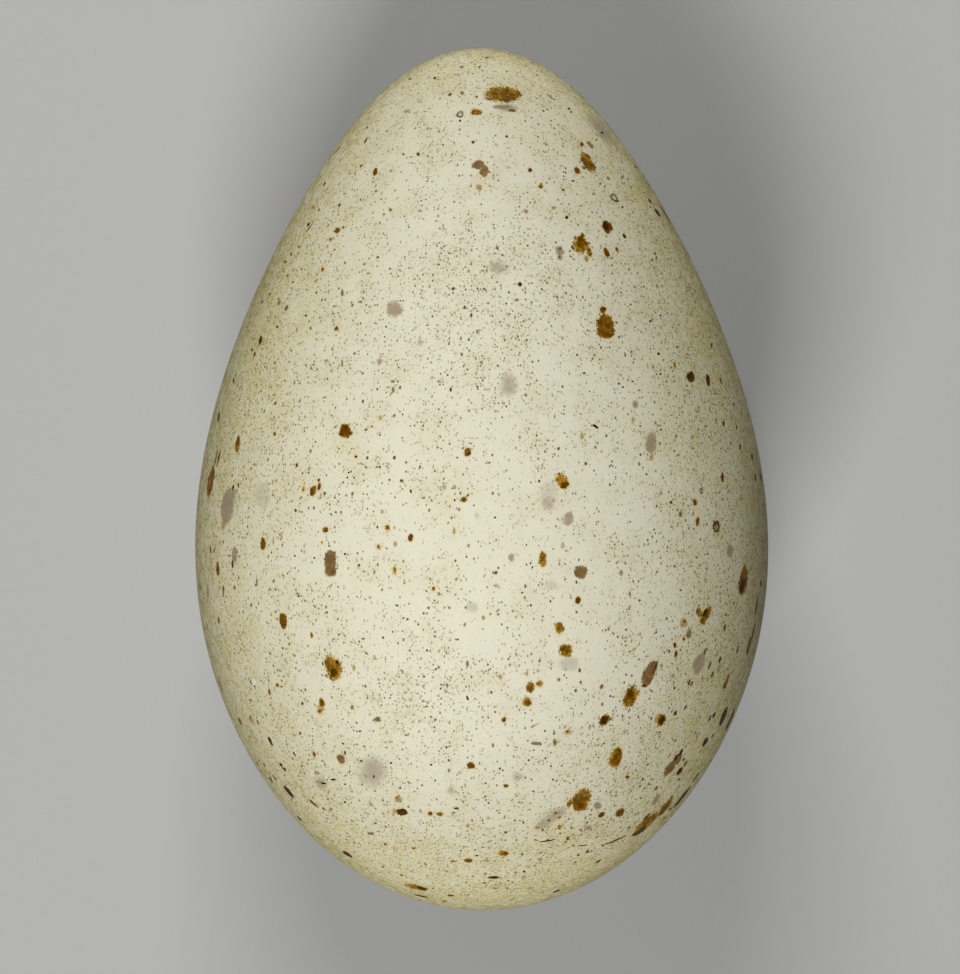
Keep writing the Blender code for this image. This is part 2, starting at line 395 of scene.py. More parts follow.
        (-1.0, -13.8, 1.29, 1.08), (-0.5, -4.0, 0.65, 0.75), (9.5, -19.9, 2.15, 1.51),
    ],
    "olive": [
        (-2.1, 41.6, 0.54), (-2.2, 44.4, 0.65, 0.27), (-9.8, 29.0, 0.38), (7.4, 41.2, 0.2, 1.08, -50),
        (11.7, 36.0, 0.54, 1.08, -40), (11.1, 33.5, 0.43), (16.1, 31.4, 0.22, 0.43, -25),
        (15.2, 32.5, 0.32), (13.7, 32.4, 0.32, 0.54, -30), (25.8, 10.6, 0.32, 0.75, -8),
        (23.4, 7.7, 0.27, 0.38), (21.7, 7.15, 0.22, 0.32), (25.3, 6.25, 0.22, 0.75, -8), (2.75, 22.9, 0.3),
        (3.8, 19.3, 0.54, 0.43), (-9.5, 9.6, 0.43, 0.75), (-19.6, 25.0, 0.32, 0.22),
        (-20.5, 24.2, 0.32, 0.43), (-14.7, 23.3, 0.27, 0.43), (-10.8, 30.15, 0.32), (-10.5, 28.5, 0.32),
        (-15.0, 20.1, 0.43, 0.86), (-17.7, 11.8, 0.32), (-21.8, 19.0, 0.38, 0.75, 20),
        (-21.0, 18.4, 0.43, 0.75, 20), (-23.6, 19.1, 0.32, 0.54, 20), (-15.0, 12.5, 0.32, 0.86),
        (-13.7, 13.5, 0.38), (-18.4, 3.0, 0.32, 0.54), (-24.2, -11.2, 0.22, 0.97),
        (-27.8, -12.05, 0.32, 1.29), (-12.0, -12.8, 0.32), (-2.7, -10.8, 0.32, 0.43),
        (-1.4, -7.2, 0.32, 0.43), (-3.2, -4.2, 0.32, 0.43), (1.8, -14.6, 0.32), (-1.8, -15.7, 0.32, 0.43),
        (-6.2, -2.05, 0.32), (-8.1, 1.8, 0.32), (-4.7, 3.4, 0.22, 0.32), (22.4, -16.7, 0.65, 1.18, 15),
        (22.0, -30.7, 0.32, 0.86, 25), (10.7, -37.8, 0.43, 0.32), (9.7, -37.6, 0.32, 0.43),
        (-13.9, -24.6, 0.43, 0.54), (1.25, -28.7, 0.32, 0.54), (7.9, -28.4, 0.43, 0.97),
        (-3.5, -31.4, 0.32, 0.54, 20), (3.6, -36.8, 0.27), (-11.9, -35.0, 0.43, 0.32),
        (1.5, -44.1, 0.65, 0.27), (-11.9, -38.2, 0.86, 0.43), (5.9, -28.5, 1.29, 0.43),
        (-1.5, -19.9, 0.32, 0.86), (-3.4, -2.96, 0.22, 0.43), (-2.41, -3.29, 0.24, 0.4),
        (-5.63, -3.4, 0.22, 0.43, 20), (-5.53, -10.76, 0.27, 0.43),
    ],
    "ring": [
        (14.3, 30.3, 0.75, 1.18, -45), (25.3, -5.2, 0.91, 1.4), (23.7, -1.3, 0.43, 0.65),
        (-2.3, 39.3, 0.86), (-17.75, -31.7, 0.54, 0.43), (12.1, 30.7, 0.32), (-16.2, -35.6, 0.4),
    ],
    "chip": [(-24.5, -21.8, 0.48, 0.86, -20)],
    "ink": [
        (-2.3, 38.6, 0.3), (7.1, 39.8, 0.24), (7.8, 35.5, 0.2), (7.85, 32.0, 0.2), (12.4, 36.55, 0.27),
        (13.0, 37.3, 0.35), (9.9, 32.1, 0.27), (12.8, 31.8, 0.24), (13.3, 31.5, 0.24), (15.2, 29.3, 0.27),
        (18.2, 29.3, 0.24), (16.6, 33.65, 0.22, 0.54, -40), (15.8, 32.3, 0.24), (19.3, 11.3, 0.25),
        (15.25, 9.9, 0.25), (14.85, 10.25, 0.25), (16.3, 10.5, 0.32, 0.18), (12.3, 5.65, 0.32, 0.85, -55),
        (17.1, 5.7, 0.24), (19.4, 5.3, 0.24), (14.1, 1.9, 0.24), (17.8, 0.5, 0.27), (17.5, 20.7, 0.24),
        (16.1, 18.8, 0.24), (18.2, 17.0, 0.3), (19.3, 17.6, 0.27), (11.1, 11.4, 0.24),
        (-3.3, 9.6, 0.27, 0.54), (-18.65, 27.4, 0.32, 0.54, 30), (-18.5, 27.1, 0.14, 1.3, 40),
        (-15.5, 35.5, 0.14, 1.2, 40), (-20.0, -3.4, 0.27, 0.38), (-13.7, 0.1, 0.24), (-14.3, 0.7, 0.24),
        (-14.45, 0.15, 0.24), (-13.5, 2.4, 0.3), (-14.7, -8.1, 0.32), (-18.0, -8.5, 0.24),
        (-20.1, -8.3, 0.27), (5.3, -9.1, 0.27), (5.5, -9.5, 0.24), (-7.6, -1.35, 0.27, 0.54, -15),
        (1.45, -4.15, 0.27), (0.85, 1.75, 0.24), (-2.6, 2.3, 0.24), (4.85, -7.1, 0.24), (4.4, -12.25, 0.27),
        (13.9, -23.4, 0.27), (14.2, -23.5, 0.27), (19.2, -27.3, 0.32, 0.22), (12.6, -28.7, 0.24),
        (13.2, -28.5, 0.24), (17.4, -32.3, 0.24), (17.1, -33.1, 0.27), (18.1, -32.9, 0.24),
        (17.2, -34.4, 0.24), (16.9, -36.0, 0.27), (7.1, -39.0, 0.2, 1.83, 82), (5.8, -38.9, 0.16, 0.32, 90),
        (6.6, -37.8, 0.27), (12.6, -41.2, 0.22, 0.86, 55), (10.1, -41.3, 0.27, 0.22), (-13.4, -27.2, 0.24),
        (-13.1, -27.2, 0.24), (-21.6, -30.8, 0.32, 0.65, -35), (-21.2, -31.3, 0.32, 0.54, -35),
        (-17.0, -32.8, 0.22, 0.75, -80), (-16.0, -32.4, 0.27, 0.65, 80), (-14.7, -32.9, 0.24),
        (-1.5, -23.6, 0.27, 0.65, -20), (2.0, -31.2, 0.27), (2.3, -31.4, 0.24), (5.1, -30.3, 0.27),
        (6.9, -30.1, 0.24), (7.7, -32.4, 0.27), (-2.1, -33.2, 0.24), (-6.4, -33.0, 0.24),
        (-8.75, -33.3, 0.27), (-5.4, -30.8, 0.27), (-9.75, -30.6, 0.27), (3.3, -34.6, 0.16, 0.32, 60),
        (1.7, -35.75, 0.24), (-2.7, -35.5, 0.22, 0.65, 85), (-0.5, -40.6, 0.22, 0.43, 90),
        (-2.5, -42.75, 0.16, 0.32, 90), (-0.9, -42.8, 0.16, 0.32, 90), (4.6, -42.3, 0.32, 0.27),
        # The thin dash just left of the chip is a painted shadow along the chip's edge.
        (4.4, -40.4, 0.16, 0.43, -60), (-24.85, -21.9, 0.13, 0.8, -20), (-24.45, -22.35, 0.3, 0.2),
        (8.4, -36.5, 0.25),
    ],
    "fleck": [
        (-3.4, 41.4, 0.38), (-0.5, 41.2, 0.27), (0.6, 45.4, 0.54, 0.22), (-5.0, 43.2, 0.43),
        (-7.7, 43.1, 0.43, 0.22), (-6.8, 35.0, 0.48), (-8.4, 35.0, 0.32), (-16.9, 31.8, 0.27, 0.54, 20),
        (-13.0, 33.7, 0.27, 0.43, 20), (-12.45, 36.45, 0.22, 0.86, 25), (2.75, 36.9, 0.38),
        (-0.9, 36.3, 0.38), (9.45, 39.9, 0.32), (9.7, 39.55, 0.24), (-14.9, 27.1, 0.27, 0.43),
        (-15.3, 29.5, 0.27, 0.54, 30), (-17.5, 29.0, 0.22, 0.43, 25), (-21.1, 23.4, 0.32, 0.43, 20),
        (-19.4, 22.6, 0.27), (-16.2, 24.2, 0.24), (-20.9, 21.9, 0.22, 0.43, 15), (-20.3, 21.2, 0.24),
        (-22.8, 19.9, 0.22, 0.43, 15), (-11.2, 23.9, 0.24), (-17.8, 21.4, 0.24), (-24.7, 13.9, 0.27, 0.43),
        (-20.5, 24.3, 0.24), (-15.85, 18.6, 0.27), (-14.0, 19.0, 0.27), (-18.9, 17.6, 0.32),
        (-22.0, 16.4, 0.32), (-16.8, 12.7, 0.25), (-16.8, 8.8, 0.25), (-14.5, 8.6, 0.25),
        (-12.8, 11.4, 0.25), (-1.8, 18.5, 0.27, 0.43), (-1.1, 17.6, 0.32, 0.43), (-3.05, 20.5, 0.43),
        (-2.2, 15.15, 0.22, 0.5), (-2.1, 13.4, 0.27, 0.43), (21.1, 14.2, 0.32), (19.1, 13.5, 0.43),
        (24.8, 14.4, 0.32, 0.65), (27.2, 8.0, 0.22, 0.54), (26.1, 6.0, 0.32, 0.65), (27.5, 5.6, 0.22, 0.65),
        (-26.7, 10.6, 0.27, 0.65), (-26.2, -0.65, 0.27, 0.54), (-19.3, 0.6, 0.22, 0.32),
        (-22.4, -11.0, 0.22, 0.43), (-19.7, -12.6, 0.27), (-24.8, -13.6, 0.22, 0.43),
        (-28.3, -15.3, 0.27, 0.86, -8), (-26.6, -11.7, 0.22, 0.54), (-29.2, -7.6, 0.22, 0.86),
        (-28.8, -7.7, 0.22, 0.54), (8.3, 3.25, 0.32, 0.43, 20), (-9.9, -0.1, 0.27), (-8.6, -0.2, 0.43),
        (-10.7, -11.95, 0.2, 0.4), (-3.45, -13.9, 0.27), (-5.7, -13.9, 0.27, 0.32), (-5.05, -13.1, 0.24),
        (-7.8, -13.45, 0.24), (-8.4, -15.0, 0.24), (-7.95, -15.1, 0.24), (-8.3, -11.2, 0.24),
        (-0.8, -8.6, 0.27), (-13.2, -9.3, 0.35), (21.5, -12.0, 0.24), (17.05, -13.1, 0.27),
        (18.3, -25.8, 0.32, 0.43), (20.8, -9.4, 0.22, 0.32), (27.2, -13.4, 0.22, 0.43), (18.9, -10.0, 0.24),
        (15.6, -17.1, 0.22, 0.32), (15.5, -17.5, 0.22, 0.32), (14.7, -17.0, 0.24), (13.7, -16.1, 0.24),
        (13.4, -16.3, 0.24), (15.95, -18.6, 0.24), (27.6, -18.45, 0.22, 0.97, 12),
        (26.2, -16.1, 0.27, 0.86, 10), (22.4, -21.9, 0.32, 0.75, 20), (22.7, -22.0, 0.27, 0.54, 20),
        (24.1, -17.4, 0.22, 0.43, 15), (16.2, -21.2, 0.22, 0.32), (15.6, -21.1, 0.22, 0.32),
        (19.4, -20.1, 0.24), (24.1, -18.6, 0.22, 0.86, 20), (24.6, -20.1, 0.27, 1.08, 20),
        (24.9, -21.1, 0.32, 0.86, 20), (25.7, -19.5, 0.32, 0.86, 18), (20.8, -22.5, 0.27, 0.38),
        (22.0, -24.6, 0.27, 0.65, 20), (24.6, -25.8, 0.27, 0.75, 25), (24.9, -27.7, 0.22, 0.65, 25),
        (21.8, -30.2, 0.27, 0.54, 25), (21.3, -32.4, 0.27, 0.43, 30), (17.9, -30.8, 0.22, 0.43, 60),
        (11.4, -37.0, 0.27), (12.4, -38.6, 0.24), (13.1, -39.5, 0.24), (11.5, -40.0, 0.24),
        (11.9, -40.1, 0.24), (9.1, -39.1, 0.24), (15.9, -37.6, 0.32, 0.22), (10.9, -39.5, 0.2, 1.2, 88),
        (9.9, -39.5, 0.24), (11.4, -40.2, 0.54, 0.32), (-12.5, -22.3, 0.27, 0.38),
        (-19.3, -24.2, 0.27, 0.43), (-21.3, -21.3, 0.24), (-21.4, -18.25, 0.27),
        (-20.7, -17.75, 0.24, 0.32, -15), (-19.4, -22.8, 0.24), (-20.0, -20.4, 0.22, 0.32),
        (-24.1, -26.2, 0.22, 0.65, -20), (-24.9, -25.6, 0.24), (-19.5, -27.4, 0.27, 0.38),
        (-20.2, -29.6, 0.22, 0.54, -25), (-24.1, -30.7, 0.27, 0.75, -30), (-23.4, -30.8, 0.22, 0.54, -30),
        (-22.3, -32.2, 0.22, 0.86, -32), (-22.7, -32.4, 0.27, 0.86, -32), (-14.7, -29.5, 0.27, 0.54),
        (-11.6, -32.1, 0.22, 0.54), (-14.2, -31.5, 0.24), (-17.05, -35.5, 0.27, 0.43, -30),
        (-14.7, -34.85, 0.27), (-16.55, -34.5, 0.24), (-11.4, -37.1, 0.27), (-12.8, -17.2, 0.24),
        (-10.6, -17.1, 0.27, 0.32), (10.6, -20.6, 0.32, 0.54), (10.7, -21.9, 0.27, 0.43),
        (-6.2, -21.3, 0.27), (-4.4, -22.6, 0.24), (-4.6, -20.3, 0.24), (2.9, -19.4, 0.27),
        (1.1, -23.0, 0.27, 0.43), (5.0, -28.2, 0.27, 0.22), (0.45, -32.8, 0.27), (0.45, -34.2, 0.24),
        (0.5, -34.6, 0.24), (-3.05, -36.0, 0.16, 0.43, 90), (4.5, -37.0, 0.22, 0.43, -25),
        (2.6, -38.1, 0.43, 0.27), (-10.3, -37.5, 0.32, 0.22), (-13.7, -39.2, 0.22, 0.32, -60),
        (-10.6, -41.8, 0.22, 0.43, -70), (-8.6, -42.7, 0.27, 0.54, -75), (0.4, -42.6, 0.2),
        (2.9, -43.3, 0.24), (-1.6, -43.45, 0.16, 0.32, 90), (3.7, -42.4, 0.22, 0.38, 90),
        (5.2, -44.1, 0.18, 0.43, 80), (6.4, -40.3, 0.16, 0.6, 85), (-0.2, 44.4, 0.25), (0.1, 44.0, 0.2),
        (18.7, 24.3, 0.3), (18.4, 23.6, 0.3), (18.9, 23.9, 0.2), (-12.95, -30.4, 0.3),
        (9.73, 24.98, 0.3, 0.45, -30), (20.25, -18.55, 0.25, 0.45, -10), (17.75, -22.85, 0.2, 0.42, 40),
        (18.33, -22.85, 0.3, 0.28), (-15.63, -19.6, 0.25, 0.3), (-16.8, -21.15, 0.2, 0.35),
        (-17.1, -19.9, 0.18, 0.6), (19.75, -36.5, 0.22, 0.38, 40), (8, -36, 0.32, 0.25),
        (8.4, -36.5, 0.4, 0.2), (7.25, -36.8, 0.25), (12.65, -41.2, 0.22, 0.6, 45), (13.08, -39.5, 0.26),
        (-1.95, -2.2, 0.45, 0.5), (18.75, -20.3, 0.2, 1.8, 22), (-14.6, 5.5, 0.35, 0.35),
        (-15.0, 4.8, 0.3, 0.3), (25.2, -4.95, 0.3, 0.35), (25.5, -5.6, 0.25, 0.4),
    ],
}


# Broad patches of the seen side: right and up from the egg's middle, reach sideways and up (mm), strength
speckledPatches = [
    (-0.3, 16.8, 8, 9.5, 0.36), (-5.5, -22.6, 6, 5.5, 0.33), (20, 20, 6, 12, 0.23), (24, 2, 6, 16, 0.26),
    (22, -20, 6, 10, 0.2), (13, -34, 8, 8, 0.29), (-24, 8, 5, 16, 0.23), (0, -41, 8, 3, 0.26),
    (-15, -33, 6, 5, 0.16), (-7.5, 31, 5, 6, -0.13), (9, 37, 5, 5, -0.14), (3, 30, 5, 5, -0.1),
    (-2, -4, 7, 9, -0.1), (-5.3, 34, 2, 1.5, 0.33), (-5.7, 29.5, 1.5, 1.5, 0.33), (-21.9, 9.6, 2, 2, 0.26),
    (5.2, 3.3, 1.3, 0.8, 0.52), (5.7, 1.0, 0.6, 0.7, 0.52), (-7.2, -22.5, 0.7, 0.8, 0.52),
    (18.7, 24, 1, 1.5, 0.59), (-0.2, 44.3, 0.6, 0.4, 0.59), (-12.8, -1.5, 3, 3, 0.2),
]
stainAndShadePatches = [
    (-22, 17, 5, 12, 0.35), (22, 12, 5, 17, 0.35), (0, -41, 16, 4, 0.3), (16.3, 30, 1.2, 1.6, 0.4),
    (-14.3, 36.8, 1, 1.2, 0.5), (2, -45.8, 2.2, 0.5, 0.5), (12, -42, 4, 1.5, 0.4),
    (-13.1, 2.6, 1.5, 1.5, 0.5), (16.2, 12.6, 1, 1, 0.4), (7.4, -36.7, 3, 2.5, 0.4),
    # The last two below, along the right rim, are painted shade for the weaker light on that side, together
    # with some staining.
    (3.9, -32.1, 1, 0.8, 0.4), (31.5, -4, 3, 22, 0.7), (24, -26, 4, 12, 0.5),
]
cloudSize = 15 * mm         # of the clouds in which the stains and the painted shade of the sides and rim thin out below the sides


def smooth(value, low, high):
    share = min(max((value - low) / (high - low), 0), 1)
    return share * share * (3 - 2 * share)


def amountAt(patches, right, up):
    return sum(amount * math.exp(-((right - x) / wide) ** 2 - ((up - y) / long) ** 2)
               for x, y, wide, long, amount in patches)


# The crown, which faces the camera, is the palest and cleanest part. Specks increase towards the sides and
# ends. So does a yellow-olive darkening that is partly real staining and partly painted shade for the light
# falling off where the shell turns from the camera and the lamps, with a darker painted shade and stain at
# the rim. Below the sides these thin out into clouds.
def paintPatches(piece):
    patches = piece.data.attributes.new("patches", "FLOAT_COLOR", "POINT").data
    for vertex in piece.data.vertices:
        crown = vertex.normal.dot(outOfEgg)
        cloud = noise.noise(vertex.co / cloudSize) * smooth(crown, 0.1, -0.3)
        under = smooth(crown + cloud * 0.6, -0.75, 0.15)
        speckled = 0.22 + 0.3 * smooth(crown, 0.95, 0.4)
        # This rises as the shell turns away from the camera and the lamps above it: painted shade mixed with
        # real staining.
        stainedAndShaded = smooth(crown, 0.95, 0.3) * (0.4 + 0.6 * under)
        # The rim gets a darker olive besides: painted shade for the light falling off there, with some stain.
        rimShadeAndStainShare = smooth(crown, 0.55, 0.05) * under
        reach = smooth(crown, -0.4, 0.05)
        if reach > 0:
            offset = (vertex.co - eggMiddle) / mm
            right, up = offset.dot(pictureRight), offset.dot(pictureUp)
            speckled += amountAt(speckledPatches, right, up) * reach
            stainedAndShaded += amountAt(stainAndShadePatches, right, up) * reach
        patches[vertex.index].color = (max(speckled, 0), max(stainedAndShaded, 0), rimShadeAndStainShare, 1)


# All are made before any is looked up, because a new one moves the others
def makeMarkLayers(piece):
    attributes = piece.data.attributes
    for layer in range(markLayers):
        for part, dataType in markData.items():
            attributes.new(f"mark{layer}{part}", dataType, "CORNER")
    empty = [0.0] * 4 * len(piece.data.loops)
    for layer in range(markLayers):
        for part in ("colour", "edge", "form"):
            attributes[f"mark{layer}{part}"].data.foreach_set("color", empty)
    return [{part: attributes[f"mark{layer}{part}"].data for part in markData} for layer in range(markLayers)]


class Marker:
    # lays marks on a piece, each on the faces round its middle
    def __init__(self, piece):
        self.piece = piece
        self.mesh = piece.data
        self.layers = makeMarkLayers(piece)
        self.taken = [set() for layer in self.layers]
        self.tree = KDTree(len(self.mesh.polygons))
        for face in self.mesh.polygons:
            self.tree.insert(face.center, face.index)
        self.tree.balance()
        self.crowded = 0

    def lay(self, kind, middle, normal, across, along, wide, long):
        look = kinds[kind]
        halfWide, halfLong = (max(size / 2 - markTrim, size * 0.42) for size in (wide, long))
        sideways, sideShrink = flattened(across, normal)
        lengthways, longShrink = flattened(along, normal)
        trueWide, trueLong = halfWide / sideShrink, halfLong / longShrink
        small = min(trueWide, trueLong)
        ragged = look["ragged"] + 0.3 * small / mm
        soft = look["soft"] + look["fade"] * small / mm
        margin = markRoom + 0.5 * small * look["crumble"] + (ragged * 0.7 + soft / 2) * mm
        reach = max(trueWide, trueLong) + margin
        corners = {}
        for centre, index, distance in self.tree.find_range(middle, reach * 1.1 + faceReach):
            face = self.mesh.polygons[index]
            if face.normal.dot(normal) < steepest:
                continue
            places = []
            for corner, vertex in zip(face.loop_indices, face.vertices):
                offset = self.mesh.vertices[vertex].co - middle
                place = (offset.dot(sideways) / halfWide, offset.dot(lengthways) / halfLong, trueWide / mm)
                places.append((corner, place))
            if min(pastEdge(*place, trueLong / mm) for corner, place in places) < margin / mm:
                corners[index] = places
        free = [layer for layer in range(len(self.layers)) if not self.taken[layer] & corners.keys()]
        if not free:
            self.crowded += 1
            free = [min(range(len(self.layers)), key=lambda layer: len(self.taken[layer] & corners.keys()))]
        layer = free[0]
        shade = random.uniform(0.85, 1.15)
        colour = (*(part * shade for part in look["colour"]), look["cover"])
        edge = (soft, ragged, look["crumble"] * small / mm, look["core"])
        form = (look["halo"], look["hollow"], random.uniform(0.35, 0.65), trueLong / mm)
        parts = self.layers[layer]
        for index in corners.keys() - self.taken[layer]:
            for corner, place in corners[index]:
                parts["place"][corner].vector = place
                parts["colour"][corner].color = colour
                parts["edge"][corner].color = edge
                parts["form"][corner].color = form
        self.taken[layer] |= corners.keys()


# A picture direction brought down on the shell, which keeps the mark's look from the camera: near the
# rim a mark is longer on the shell than it looks, up to a limit.
def flattened(direction, normal):
    onShell = direction - normal * direction.dot(normal)
    shrink = onShell.length
    if shrink < leastShrink:
        onShell *= leastShrink / max(shrink, 0.01)
        shrink = leastShrink
    return onShell, shrink


# How far a place is past a mark's edge, and below 0 inside it: u and v are its shares of the half sizes
def pastEdge(u, v, trueWide, trueLong):
    fromMiddle = max(math.hypot(u, v), 0.001)
    return math.hypot(u * trueWide, v * trueLong) * (1 - 1 / fromMiddle)


# A mark on the very outline is moved in, a hundredth of its way at a time, until it meets the shell
def laySeenMarks(marker, camera):
    eye = camera.location
    for kind in kinds:
        for right, up, wide, *rest in seenMarks[kind]:
            long = rest[0] if rest else wide
            turn = math.radians(rest[1]) if len(rest) > 1 else 0
            for inward in range(12):
                target = eggMiddle + (pictureRight * right + pictureUp * up) * mm * (1 - inward / 100)
                hit, middle, normal, face = marker.piece.ray_cast(eye, (target - eye).normalized())
                if hit:
                    break
            nearer = (eye - middle).dot(outOfEgg) / (eye - eggMiddle).dot(outOfEgg)
            along = pictureUp * math.cos(turn) + pictureRight * math.sin(turn)
            across = pictureRight * math.cos(turn) - pictureUp * math.sin(turn)
            marker.lay(kind, middle, normal, across, along, wide * mm * nearer, long * mm * nearer)


# The side away from the camera has marks of the same kinds and sizes, scattered at random: how many of a
# kind, and the least and the most that one is wide (mm)
hiddenMarks = {
    "pale": (8, 0.8, 2.6), "mauve": (14, 0.7, 3.2), "lilac": (28, 0.4, 2.4), "taupe": (14, 0.5, 2.4),
    "amber": (45, 0.25, 1.2), "golden": (45, 0.4, 2.8), "olive": (70, 0.25, 0.6), "ring": (6, 0.4, 1.2),
    "umber": (70, 0.4, 2.6), "dark": (25, 0.3, 1.6), "fleck": (190, 0.2, 0.5), "ink": (60, 0.2, 0.34),
}
hiddenLean = 20             # degrees, how far most of them turn from the egg's own long direction


def layHiddenMarks(marker, camera):
    hidden = [face for face in marker.mesh.polygons if (face.center - camera.location).dot(face.normal) > 0]
    for kind in hiddenMarks:
        count, least, most = hiddenMarks[kind]
        for number in range(count):
            face = random.choice(hidden)
            away = (face.center - camera.location).normalized().dot(face.normal)
            wide = least + (most - least) * random.random() ** 3
            if wide > 0.5 and away < 0.12:
                continue
            turn = Matrix.Rotation(math.radians(random.gauss(0, hiddenLean)), 3, face.normal)
            along = turn @ eggAxis
            long = wide * random.uniform(1, 1.7)
            marker.lay(kind, face.center, face.normal, face.normal.cross(along), along, wide * mm, long * mm)


# Shader maths

class Wire:
    # an output socket that takes part in Python sums, on either side of a sign
    def __init__(self, paint, socket):
        self.paint, self.socket = paint, socket

    def sum(self, operation, *terms):
        return self.paint.node("ShaderNodeMath", {"operation": operation}, dict(enumerate(terms)))

    def __add__(self, other):
        return self.sum("ADD", self, other)

    __radd__ = __add__

    def __mul__(self, other):
        return self.sum("MULTIPLY", self, other)

    __rmul__ = __mul__

    def __sub__(self, other):
        return self.sum("SUBTRACT", self, other)

    def __rsub__(self, other):
        return self.sum("SUBTRACT", other, self)

    def __truediv__(self, other):
        return self.sum("DIVIDE", self, other)

    def __rtruediv__(self, other):
        return self.sum("DIVIDE", other, self)

    def __lt__(self, other):
        return self.sum("LESS_THAN", self, other)

    def __gt__(self, other):
        return self.sum("GREATER_THAN", self, other)

    def root(self):
        return self.sum("SQRT", self)

    def atLeast(self, other):
        return self.sum("MAXIMUM", self, other)

    def atMost(self, other):
        return self.sum("MINIMUM", self, other)

    def rise(self, low, high):
        # 0 below low, 1 above high and smooth between; low and high may run down
        sockets = {"Value": self, "From Min": low, "From Max": high}
        return self.paint.node("ShaderNodeMapRange", {"interpolation_type": "SMOOTHSTEP"}, sockets)


class Paint:
    def __init__(self, name):
        self.material = bpy.data.materials.new(name)
        self.material.use_nodes = True
        self.tree = self.material.node_tree
        self.tree.nodes.clear()

    def node(self, kind, settings=None, sockets=None, output=0):
        made = self.tree.nodes.new(kind)
        for name, value in (settings or {}).items():
            setattr(made, name, value)
        for name, value in (sockets or {}).items():
            if isinstance(value, Wire):
                self.tree.links.new(value.socket, made.inputs[name])
            else:
                made.inputs[name].default_value = value
        if isinstance(output, tuple):
            return [Wire(self, made.outputs[name]) for name in output]
        return Wire(self, made.outputs[output]) if made.outputs else None

    def mix(self, share, first, second, blend="MIX"):
        settings = {"data_type": "RGBA", "blend_type": blend, "clamp_factor": True}
        made = self.node("ShaderNodeMix", settings, {"Factor": share}, output=2)
        for index, colour in ((6, first), (7, second)):
            socket = made.socket.node.inputs[index]
            if isinstance(colour, Wire):
                self.tree.links.new(colour.socket, socket)
            else:
                socket.default_value = (*colour, 1)
        return made

    def noise(self, place, size, detail=2, roughness=0.5):
        return self.node("ShaderNodeTexNoise", {}, {"Vector": place, "Scale": 1 / size, "Detail": detail,
                                                    "Roughness": roughness})

    def moved(self, place, offset, stretch=(1, 1, 1)):
        return self.node("ShaderNodeMapping", {}, {"Vector": place, "Location": offset, "Scale": stretch})

    def attribute(self, name, output=("Color", "Alpha")):
        return self.node("ShaderNodeAttribute", {"attribute_name": name}, output=output)

    def parts(self, whole, kind="ShaderNodeSeparateColor"):
        return self.node(kind, {}, {0: whole}, output=(0, 1, 2))


# The shell's finish

finish = {
    "cream": (0.748, 0.716, 0.562),
    "dull": (0.69, 0.652, 0.475),
    "bright": (0.803, 0.778, 0.65),
    # The next two, the yellow-olive of the sides and the darker olive of the rim, are partly stain colour and
    # partly painted shade.
    "stainAndShade": (0.645, 0.577, 0.255),
    "rimStainAndShade": (0.30, 0.248, 0.095),
    "grain": (0.25, 0.195, 0.04),
    "oliveSpeck": (0.30, 0.23, 0.03),
    "darkSpeck": (0.06, 0.04, 0.003),
    "halo": (0.68, 0.50, 0.17),
    "coreShade": (0.30, 0.23, 0.1),     # a mark's colour is multiplied by it in its dark core
    # specks: spacing and radius (mm), how many of them the speckled patches keep, how many are kept anywhere,
    # and a seed
    "specks": [(0.22, 0.09, 1.2, 0, 23), (0.29, 0.11, 1.2, 0, 3), (0.55, 0.14, 0.8, 0.04, 11)],
    "roughness": 0.5,
    "shine": 0.04,
    "poreHeight": 0.012 * mm,
}


# Specks of one size: small balls scattered in space, seen where the shell cuts them, a few of them dark
def withSpecks(paint, ground, place, spacing, radius, share, seed, longer=1.3):
    moved = paint.moved(place, (seed, seed * 1.7, seed * 2.3), (1, 1, 1 / longer))
    distance, colour = paint.node("ShaderNodeTexVoronoi", {}, {"Vector": moved, "Scale": 1 / spacing},
                                  output=("Distance", "Color"))
    kept, size, depth = paint.parts(colour)
    edge = (size * 0.8 + 0.6) * (radius / spacing)
    ball = (distance / edge).rise(1, 0.7)
    tone = depth * depth
    speck = paint.mix(tone, finish["oliveSpeck"], finish["darkSpeck"])
    return paint.mix(ball * (kept < share) * (tone * 0.75 + 0.2), ground, speck)


# The same sum in the shader, with the edge made uneven and crumbling by two noises
def markMask(paint, layer, edges, crumbs):
    u, v, trueWide = paint.parts(paint.attribute(f"mark{layer}place", "Vector"), "ShaderNodeSeparateXYZ")
    colour, cover = paint.attribute(f"mark{layer}colour")
    edge, core = paint.attribute(f"mark{layer}edge")
    soft, ragged, crumble = paint.parts(edge)
    form, trueLong = paint.attribute(f"mark{layer}form")
    halo, hollow, point = paint.parts(form)
    across = u / (1 - v * (point - 0.5))
    fromMiddle = (across * across + v * v).root().atLeast(0.001)
    px, py = u * trueWide, v * trueLong
    past = (px * px + py * py).root() * (fromMiddle - 1) / fromMiddle
    past = past + ragged * edges + crumble * crumbs
    gaps = crumbs.rise(0.35, 1.0) * crumble.atMost(0.5) * 1.3
    covered = (past / soft).rise(0.5, -0.5) * (cover - gaps)
    middle = (fromMiddle * 0.4 + edges * 1.2 + crumbs * 0.7).rise(0.35, 0.05)
    covered = covered * (1 - fromMiddle.rise(0.75, 0.4) * hollow)
    ring = past.rise(0.3, 0) * halo * cover
    return colour, covered, middle * core, ring


